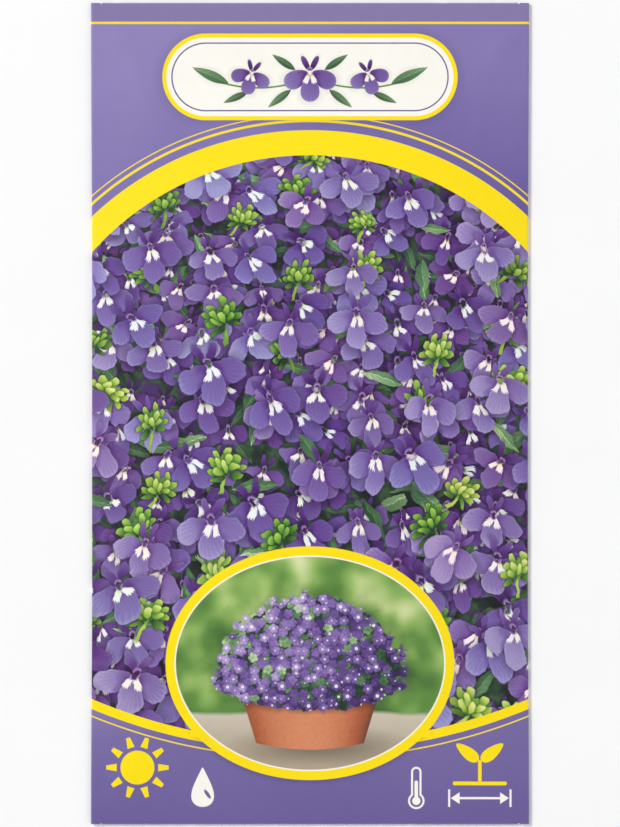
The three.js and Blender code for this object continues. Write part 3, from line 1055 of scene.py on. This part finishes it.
def flap_sheet(bag, flap, side, inset):
    """A flap that goes on from the front's end row, round a half-ellipse fold and back under the
    bag.

    With e the bag's end, b the fold's depth and h the flat end's height: y = ±(e + (b − inset)·cos
    a − reach) and z = h/2 + (h/2 − inset)·sin a, and x runs from −width to width.
    """
    c, _, round_side, _ = around(bag)
    stops = c[on_root(bag, c, round_side)] / (bag.root / 2 / bag.half)
    angle, out, width = [row[:, None] for row in flap_reach(bag, flap)]
    middle = (bag.sheet + bag.edge_height) / 2
    y = side * (bag.end + (2 * bag.sheet - inset) * np.cos(angle) - out)
    return as_points(width * stops, y, middle + (middle - inset) * np.sin(angle))


def quads(index):
    """The faces of a grid of vertex numbers, which point to the side from which its rows run up and
    its columns to the right."""
    corners = [index[:-1, :-1], index[:-1, 1:], index[1:, 1:], index[1:, :-1]]
    return np.stack(corners, axis=-1).reshape(-1, 4)


def in_one_list(grids):
    """The points of every grid, one after the other."""
    return np.concatenate([grid.reshape(-1, grid.shape[-1]) for grid in grids])


def fold_bag(bag, relief):
    """A whole bag. Gives its outer points, its inner points, the place of each on the flat sheet in
    millimetres, and the faces of its outer side with the name of the panel that each is on."""
    c, angle, side, _ = around(bag)
    unrolled = side * (2 * bag.half + bag.radius * (math.pi / 2 - angle)) - c * bag.half
    along = np.where(side == 0, c * bag.half, unrolled)
    outer = [wrapped_sheet(bag, relief, 0.0)]
    inner = [wrapped_sheet(bag, relief, bag.sheet)]
    flat = [as_points(along, outer[0][..., 1])]
    rows, columns = outer[0].shape[:2]
    body = np.arange(rows * columns).reshape(rows, columns)
    faces = [quads(body)]
    panels = [np.tile(np.where(side[:-1] + side[1:] == 0, "front", "back"), rows - 1)]
    root = np.flatnonzero(on_root(bag, c, side))
    count = body.size
    for flap, end_side, end_row in zip(bag.flaps, (-1, 1), (0, -1)):
        points = flap_sheet(bag, flap, end_side, 0.0)
        outer.append(points)
        inner.append(flap_sheet(bag, flap, end_side, bag.sheet))
        edge = outer[0][end_row, root]
        chain = np.concatenate([edge[None], points])
        steps = np.linalg.norm(np.diff(chain[:, chain.shape[1] // 2, :], axis=0), axis=1)
        way = end_side * (abs(edge[0, 1]) + np.cumsum(steps))
        flat.append(as_points(points[..., 0], way[:, None]))
        own = count + np.arange(points[..., 0].size).reshape(points.shape[:2])
        index = np.concatenate([body[end_row, root][None], own])
        faces.append(quads(index[::end_side]))
        panels.append(np.full(len(faces[-1]), "flap"))
        count += own.size
    shift = np.array([0, bag.centre_y, bag.floor])
    outer, inner = in_one_list(outer) + shift, in_one_list(inner) + shift
    return outer, inner, in_one_list(flat), np.concatenate(faces), np.concatenate(panels)


def rim_edges(faces):
    """The edges that only one face has, as pairs in the order in which that face has them."""
    pairs = np.stack([faces, np.roll(faces, -1, axis=1)], axis=-1).reshape(-1, 2)
    count = faces.max() + 1
    forward, backward = pairs[:, 0] * count + pairs[:, 1], pairs[:, 1] * count + pairs[:, 0]
    return pairs[~np.isin(forward, backward)]


# The baking map is a square of dots.
MAP_DOTS = 1024
MARGIN = 4  # left free round a part of the map
SHELF_GAP = 6  # left free above the back
BACK_TALL = 740  # the most that the back takes of the map's height
FLAP_WIDE = 220  # how many dots a bag's width takes on a flap
STRIP, STRIP_PITCH = 4, 6  # a cell for one strip of a cut edge, and from one cell to the next


def placed(corners, low, high, scale, at):
    """Corners between low and high, in millimetres, put on the map at scale dots a millimetre with
    their low corner at a dot."""
    return ((np.clip(corners, low, high) - low) * scale + np.array(at)) / MAP_DOTS


def baking_map(bag, flat, faces, panels, strips):
    """Where the corners of the outer faces, the inner ones and the strips lie on the map. The front
    with its side folds stands at the left, as large as fits, so that its print stays sharp. Beside
    it are the two halves of the back, and above them the flaps, the strips and the inside."""
    corners = flat[faces]
    across, up = corners.mean(axis=1).T
    fold, tall = bag.width / 2 + bag.edge_height, bag.length / 2
    reach = abs(flat).max(axis=0)
    room = MAP_DOTS - 2 * MARGIN
    scale = room / (2 * tall)
    column = 2 * fold * scale + 2 * MARGIN
    half_back = reach[0] - fold
    back_scale = min((room - column) / (2 * half_back + 2), BACK_TALL / (2 * tall))
    shelf = MARGIN + 2 * tall * back_scale + SHELF_GAP
    flap_scale = FLAP_WIDE / bag.width
    flap_row = (reach[1] - tall + 1) * flap_scale + MARGIN

    outside = placed(corners, (-fold, -tall), (fold, tall), scale, (MARGIN, MARGIN))
    for number, side in enumerate((-1, 1)):
        low, high = sorted((side * fold, side * reach[0]))
        back = (panels == "back") & (across * side >= fold)
        at = (column + number * (half_back + 1) * back_scale, MARGIN)
        outside[back] = placed(corners[back], (low, -tall), (high, tall), back_scale, at)
        low, high = sorted((side * (tall - 1), side * reach[1]))
        flap = (panels == "flap") & (up * side > 0)
        at = (column, shelf + number * flap_row)
        outside[flap] = placed(corners[flap], (-fold, low), (fold, high), flap_scale, at)

    inside_scale = (room - shelf) / (2 * reach[1])
    inside_at = (room - 2 * reach[0] * inside_scale, shelf)
    inside = placed(corners[:, ::-1], -reach, reach, inside_scale, inside_at)

    number = np.arange(strips)
    in_row = int((inside_at[0] - column - STRIP_PITCH) // STRIP_PITCH)
    cell = as_points(number % in_row, number // in_row) * STRIP_PITCH
    cell = cell + np.array([column, shelf + 2 * flap_row + 2])
    square = np.array([(0, 0), (1, 0), (1, 1), (0, 1)]) * STRIP
    return np.concatenate([outside, inside, (cell[:, None] + square) / MAP_DOTS])


def add_piece(name, mesh):
    piece = bpy.data.objects.new(name, mesh)
    bpy.context.scene.collection.objects.link(piece)
    return piece


def new_mesh(name, points, faces, materials):
    """A mesh of smooth faces. The points are given in millimetres."""
    mesh = bpy.data.meshes.new(name)
    mesh.from_pydata((points * MM).tolist(), [], faces.tolist())
    mesh.polygons.foreach_set("use_smooth", np.ones(len(faces), bool))
    for material in materials:
        mesh.materials.append(material)
    return mesh


def bag_piece(name, bag, relief, materials, pick):
    """A bag with the thickness of its sheet: the outer faces, the inner faces turned round, and a
    strip along every cut edge. pick(flat middle, panel) gives each outer face's material number,
    and the last material is for the inside and the cut edges."""
    outer, inner, flat, faces, panels = fold_bag(bag, relief)
    rim = rim_edges(faces)
    total = len(outer)
    strips = np.stack([rim[:, 1], rim[:, 0], rim[:, 0] + total, rim[:, 1] + total], axis=-1)
    every = np.concatenate([faces, faces[:, ::-1] + total, strips])
    mesh = new_mesh(name, np.concatenate([outer, inner]), every, materials)
    spot = np.zeros((2 * total, 3), np.float32)
    spot[:, :2] = np.concatenate([flat, flat])
    mesh.attributes.new("sheet", "FLOAT_VECTOR", "POINT").data.foreach_set("vector", spot.ravel())
    maps = baking_map(bag, flat, faces, panels, len(strips))
    mesh.uv_layers.new(name="OFBake").data.foreach_set("uv", maps.astype(np.float32).ravel())
    slots = np.full(len(every), len(materials) - 1)
    slots[: len(faces)] = pick(flat[faces].mean(axis=1), panels)
    mesh.polygons.foreach_set("material_index", slots.astype(np.int32))
    mesh.set_sharp_from_angle(angle=math.radians(SHARP_ANGLE))
    mesh.update()
    return add_piece(name, mesh)


# The creases that run inwards from the packet's corners: which corner, how many degrees from the
# width's direction, and how high.
CREASES = (
    ((-1, -1), 58, 0.16), ((-1, -1), 40, 0.10), ((1, -1), 62, 0.13), ((1, -1), 38, 0.14),
    ((-1, 1), 60, 0.15), ((-1, 1), 44, 0.10), ((1, 1), 55, 0.13), ((1, 1), 70, 0.11),
)
CREASES_FROM = (37.5, 71.5)  # where they begin, beside a corner
CREASE_LENGTH = 30


def packet_relief(x, y):
    """Unevenness of the filled packet's front, in millimetres. It dies out towards the sides as
    (1 − (x/half)²)², but the creases only over the last 3 mm.

    The sachet's outline: 0.10 high where max(|x| − 22, |y + 18| − 31) is below 0, with a 3 mm
    slope. The seed: a bell 0.14 high at (0, −34). Slow waves, 0.05. Ripples 16 mm long near both
    ends, where the bulge begins, 0.10. Creases from the corners: their height times exp(−(d/2)²)
    at a distance d from the crease's line.
    """
    half = PACKET.width / 2
    window = np.clip(1 - (x / half) ** 2, 0, 1) ** 2
    off_width, off_length = abs(x) - SACHET.width / 2, abs(y - SACHET.centre_y) - SACHET.length / 2
    from_sachet = np.maximum(off_width, off_length) + 1
    height = 0.10 * smooth(0.5 - from_sachet / 3)
    height = height + 0.14 * np.exp(-((x / 11) ** 2) - ((y - HEAP["centre_y"]) / 7) ** 2)
    height = height + 0.05 * np.sin(x / 11 + 1.3 + 0.6 * np.sin(y / 23)) * np.cos(y / 17 + 0.4)
    near_end = np.exp(-(((abs(y) - 61) / 6) ** 2))
    height = height + 0.10 * near_end * np.sin(x / 2.6 + 0.9 * np.sign(y))
    height = height * window
    for (across, up), turn, strength in CREASES:
        way_x, way_y = -across * math.cos(math.radians(turn)), -up * math.sin(math.radians(turn))
        off_x, off_y = x - across * CREASES_FROM[0], y - up * CREASES_FROM[1]
        ahead = off_x * way_x + off_y * way_y
        aside = off_x * way_y - off_y * way_x
        fade = smooth(ahead / 6) * smooth((CREASE_LENGTH - ahead) / 18)
        height = height + strength * fade * np.exp(-((aside / 2) ** 2))
    return height * smooth((half - abs(x)) / 3) * smooth((73.5 - abs(y)) / 3)


def sachet_relief(x, y):
    """Crinkles of the glassine sachet, 0.05 and 0.04 mm high, that cross each other, and the seed's
    bell, 0.12 high."""
    window = np.clip(1 - (x / (SACHET.width / 2)) ** 2, 0, 1)
    fold = 1 - abs(np.sin(x / 3.1 + 0.8 * np.sin(y / 6))) ** 0.5
    cross = 1 - abs(np.sin(y / 4.3 - x / 9 + 0.5)) ** 0.5
    seed_y = HEAP["centre_y"] - SACHET.centre_y
    seed = np.exp(-((x / 9) ** 2) - ((y - seed_y) / 5) ** 2)
    from_end = SACHET.length / 2 - abs(y)
    return window * (0.05 * fold + 0.04 * cross + 0.12 * seed) * smooth((from_end - 1) / 3)


def turned_by(angle, first, second):
    """Each row's two coordinates, turned by that row's angle."""
    cos, sin = np.cos(angle)[:, None], np.sin(angle)[:, None]
    return first * cos - second * sin, first * sin + second * cos


def seed_grain():
    """An egg-shaped grain: x = l·cos b, y = w·sin b·cos t, z = h·sin b·sin t, with three rings of
    six points between the tips. Gives its 20 points and its 36 triangles."""
    down = np.radians([42, 90, 138])[:, None]
    turn = np.radians(np.arange(0, 360, 60))
    rings = as_points(np.cos(down), np.sin(down) * np.cos(turn), np.sin(down) * np.sin(turn))
    points = np.concatenate([[[1, 0, 0]], rings.reshape(-1, 3), [[-1, 0, 0]]]) * np.array(SEED_SIZE) / 2
    ring = np.arange(1, 19).reshape(3, 6)
    ring = np.concatenate([ring, ring[:, :1]], axis=1)
    sides = quads(ring)
    front, rear = as_points(0, ring[0, :-1], ring[0, 1:]), as_points(19, ring[2, 1:], ring[2, :-1])
    return points, np.concatenate([sides[:, [0, 3, 2]], sides[:, [0, 2, 1]], front, rear])


def seed_heap(material):
    """The pinch of seed: grains from 0.85 to 1.1 times the usual size, spread evenly through a flat
    ellipsoid and turned every way, but tilted little."""
    chance = np.random.default_rng(7)
    count = HEAP["count"]
    way = chance.normal(size=(count, 3))
    way /= np.linalg.norm(way, axis=1)[:, None]
    size = np.array([HEAP["width"], HEAP["depth"], HEAP["height"]]) / 2
    centre = way * np.cbrt(chance.random(count))[:, None] * (size - 0.3 * np.array(SEED_SIZE))
    centre += np.array([0, HEAP["centre_y"], HEAP_FLOOR + HEAP["height"] / 2])
    spin = chance.random(count) * 2 * math.pi
    tilt = chance.normal(size=count) * 0.35
    roll = chance.random(count) * 2 * math.pi
    grain, faces = seed_grain()
    x, y, z = np.moveaxis(grain * (0.85 + 0.25 * chance.random((count, 1, 1))), -1, 0)
    y, z = turned_by(roll, y, z)
    x, z = turned_by(tilt, x, z)
    x, y = turned_by(spin, x, y)
    points = as_points(x, y, z) + centre[:, None]
    number = faces + len(grain) * np.arange(count)[:, None, None]
    mesh = new_mesh("seed_heap", points.reshape(-1, 3), number.reshape(-1, 3), [material])
    lot = np.repeat(chance.random(count), len(grain)).astype(np.float32)
    mesh.attributes.new("grain", "FLOAT", "POINT").data.foreach_set("value", lot)
    mesh.update()
    return add_piece("seed_heap", mesh)


# ---------------------------------------------------------------- materials


def new_material(name):
    material = bpy.data.materials.new(name)
    material.use_nodes = True
    net = Net(material.node_tree)
    shader = next(n for n in material.node_tree.nodes if n.type == "BSDF_PRINCIPLED")
    return material, net, shader


def sheet_point(net):
    return Flow(net, net.node("Attribute", attribute_name="sheet").outputs["Vector"])


FIBRE_INKS = ((0.3, ink(222, 218, 210)), (0.7, ink(246, 244, 238)))


def wire_laminate(net, point, ink_colour):
    """Printed and laminated paper: a slow mottling of the ink, white wear where the sheet is
    folded, a pale line at its lapped edge, where the cut shows, and the height in millimetres of
    its fine fibres and faint dents."""
    along, up, _ = net.xyz(point)
    mottle = net.noise(point, 0.35, 3.0)
    fibres = net.noise(net.vector_math("MULTIPLY", point, (1.0, 0.55, 1.0)), 2.6, 2.0)
    fold = net.least(abs(abs(along) - FOLD_LINE), abs(abs(up) - END_FOLD_LINE))
    worn = net.step(net.line(fold, 2.2, net.line(fibres, -1.0, mottle * -1.8)), -1.5, -0.3)
    cut = net.step(net.line(abs(along - LAP_EDGE), 4.0, fibres * -1.0), -0.35, -0.2)
    worn = net.most(worn, cut)
    colour = net.scaled(ink_colour, net.line(mottle, 0.05, 0.975))
    colour = net.blend(worn * 0.75, colour, WORN_INK)
    roughness = net.line(worn, 0.3, net.line(fibres, 0.10, 0.32))
    return colour, roughness, net.line(mottle, 0.02, fibres * 0.006)


def add_bump(net, shader, height):
    """Feeds a height in millimetres to the shader's normal."""
    bump = net.node("Bump", {"Height": height, "Distance": MM})
    net.tree.links.new(bump.outputs[0], shader.inputs["Normal"])


def printed(name, laminate, draw):
    """Laminated paper with a print: draw(net, point) gives its colour."""
    material, net, shader = new_material(name)
    point = sheet_point(net)
    colour, roughness, height = net.use(laminate, point, draw(net, point))
    net.feed(shader.inputs["Base Color"], colour)
    net.feed(shader.inputs["Roughness"], roughness)
    add_bump(net, shader, height)
    return material


def paper_core():
    """The bare inside of the paper, with its fibres."""
    material, net, shader = new_material("paper_core")
    point = sheet_point(net)
    fibres = net.noise(net.vector_math("MULTIPLY", point, (1.0, 0.4, 1.0)), 2.2, 4.0)
    net.feed(shader.inputs["Base Color"], net.ramp(fibres, FIBRE_INKS))
    shader.inputs["Roughness"].default_value = 0.85
    add_bump(net, shader, fibres * 0.02)
    return material


def glassine():
    """Thin, smooth, slightly cloudy paper that has been crumpled and pressed flat."""
    material, net, shader = new_material("glassine")
    point = sheet_point(net)
    cloud = net.noise(point, 0.5, 4.0)
    creases = abs(net.noise(point, 0.22, 1.0) - 0.5)
    colour = net.ramp(cloud, ((0.3, ink(214, 207, 188)), (0.7, ink(238, 233, 220))))
    colour = net.scaled(colour, net.line(net.step(creases, 0.01, -0.02), 0.06, 0.95))
    net.feed(shader.inputs["Base Color"], colour)
    net.feed(shader.inputs["Roughness"], net.line(cloud, 0.2, 0.34))
    add_bump(net, shader, net.line(net.step(creases, 0.012, -0.024), 0.05, cloud * 0.02))
    return material


def seed_coat():
    """Brown seed skin with a net of fine pits. Each grain has its own tone."""
    material, net, shader = new_material("seed_coat")
    place = Flow(net, net.node("TexCoord").outputs["Object"])
    lot = Flow(net, net.node("Attribute", attribute_name="grain").outputs["Fac"])
    pits = Flow(net, net.node("TexVoronoi", {"Vector": place, "Scale": 9000.0}).outputs["Distance"])
    tone = net.line(lot, 0.6, pits * 0.4)
    inks = ((0.1, ink(58, 34, 20)), (0.5, ink(104, 64, 36)), (0.9, ink(150, 104, 62)))
    net.feed(shader.inputs["Base Color"], net.ramp(tone, inks))
    net.feed(shader.inputs["Roughness"], net.line(pits, -0.2, 0.65))
    add_bump(net, shader, pits * 0.03)
    return material


def floor_paper():
    """A matt white sweep that glows a little far out, where the lamps don't reach, so that it ends
    as pale as the sky. It is there only to be looked at from above: the light from below reaches
    the packet's back through it."""
    material, net, shader = new_material("floor")
    place = Flow(net, net.node("TexCoord").outputs["Object"])
    mottle = net.noise(place, 60.0, 3.0)
    inks = ((0.3, (0.935, 0.935, 0.94, 1)), (0.7, (0.945, 0.945, 0.95, 1)))
    net.feed(shader.inputs["Base Color"], net.ramp(mottle, inks))
    far = net.step(net.length(place), 2.2, 3.4)
    net.feed(shader.inputs["Emission Color"], net.scaled((0.43, 0.43, 0.43), far))
    shader.inputs["Emission Strength"].default_value = 1.0
    material.cycles.emission_sampling = "NONE"
    shader.inputs["Roughness"].default_value = 0.9
    below = Flow(net, net.node("NewGeometry").outputs["Backfacing"])
    looked_at = Flow(net, net.node("LightPath").outputs["Is Camera Ray"])
    clear = net.node("BsdfTransparent")
    both = net.node("MixShader", {0: 1.0 - looked_at * (1.0 - below)})
    net.tree.links.new(shader.outputs[0], both.inputs[1])
    net.tree.links.new(clear.outputs[0], both.inputs[2])
    output = next(n for n in net.tree.nodes if n.type == "OUTPUT_MATERIAL")
    net.tree.links.new(both.outputs[0], output.inputs["Surface"])
    return material


def front_slot(centre, panel):
    """Which print a face carries: 0 the picture, 1 the header, 2 the base and the oval, 3 the back.
    The borders run inside the yellow bands, where both neighbours are yellow."""
    x, y = centre.T
    arch = np.hypot(x, np.maximum(y - ARCH["middle"], 0)) - ARCH["radius"]
    base = np.hypot(x, y - BASE["middle"]) - BASE["radius"]
    half_width, half_height = OVAL["outer"]
    oval = (np.hypot(x / half_width, (y - OVAL["centre"][1]) / half_height) - 1) * half_height
    slot = np.where(arch > 0.8, 1, np.where((base > 0.8) | (oval < -0.8), 2, 0))
    return np.where((panel == "back") & (abs(x) > PACKET.width / 2 + 1), 3, slot)


def add_world():
    """Pale light from all round. Overhead, where the light tent has its hole for the camera, it is
    dimmer, but it looks pale there too to a camera that looks up."""
    world = bpy.data.worlds.new("world")
    bpy.context.scene.world = world
    world.use_nodes = True
    net = Net(world.node_tree)
    direction = Flow(net, net.node("TexCoord").outputs["Generated"])
    height = net.xyz(direction)[2]
    background = next(n for n in world.node_tree.nodes if n.type == "BACKGROUND")
    background.inputs["Color"].default_value = (1.0, 1.0, 1.0, 1.0)
    looked_at = Flow(net, net.node("LightPath").outputs["Is Camera Ray"])
    hole = net.step(height, 0.80, 0.26) * (1.0 - looked_at)
    strength = net.line(hole, -0.55, 0.74)
    net.feed(background.inputs["Strength"], net.line(net.step(height, 0.10, -0.24), 0.24, strength))


# ---------------------------------------------------------------- the scene


def add_parts(motifs, layers):
    finish = dict(Color="Color", Roughness="Float", Height="Float")
    laminate = node_group("laminate", dict(Point="Vector", Ink="Color"), finish, wire_laminate)
    oval_picture = node_group("oval picture", dict(Point="Vector"), dict(Color="Color"), wire_oval)
    prints = [
        printed("printed_picture", laminate, lambda net, point: draw_picture(net, point, layers)),
        printed("printed_header", laminate, lambda net, point: draw_header(net, point, motifs)),
        printed("printed_base", laminate, lambda net, point: draw_lower(net, point, oval_picture)),
        printed("printed_back", laminate, lambda net, point: draw_back(net, point, motifs)),
    ]
    paper, crinkled, skin = paper_core(), glassine(), seed_coat()
    packet = bag_piece("packet_bag", PACKET, packet_relief, [*prints, paper], front_slot)
    sachet = bag_piece("sachet_bag", SACHET, sachet_relief, [crinkled, crinkled], lambda centre, panel: 0)
    heap = seed_heap(skin)
    for piece, node, slot in (
        (packet, "packet", "printed_paper"),
        (sachet, "inner_sachet", "glassine"),
        (heap, "seeds", "seed_coat"),
    ):
        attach(piece, "root")
        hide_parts(node)


def add_floor():
    mesh = bpy.data.meshes.new("floor")
    corners = [(-8, -8), (8, -8), (8, 8), (-8, 8)]
    mesh.from_pydata([(x, y, -0.02 * MM) for x, y in corners], [], [(0, 1, 2, 3)])
    mesh.materials.append(floor_paper())
    add_piece("floor", mesh)


add_camera()
add_parts(*build_layers())
add_floor()
add_area_light("key", (-2.2, 1.5, 2.2), 0.9, 78.5)
add_area_light("fill", (2.4, -1.3, 2.1), 2.4, 14)
add_world()
bpy.context.scene.view_settings.view_transform = "Standard"
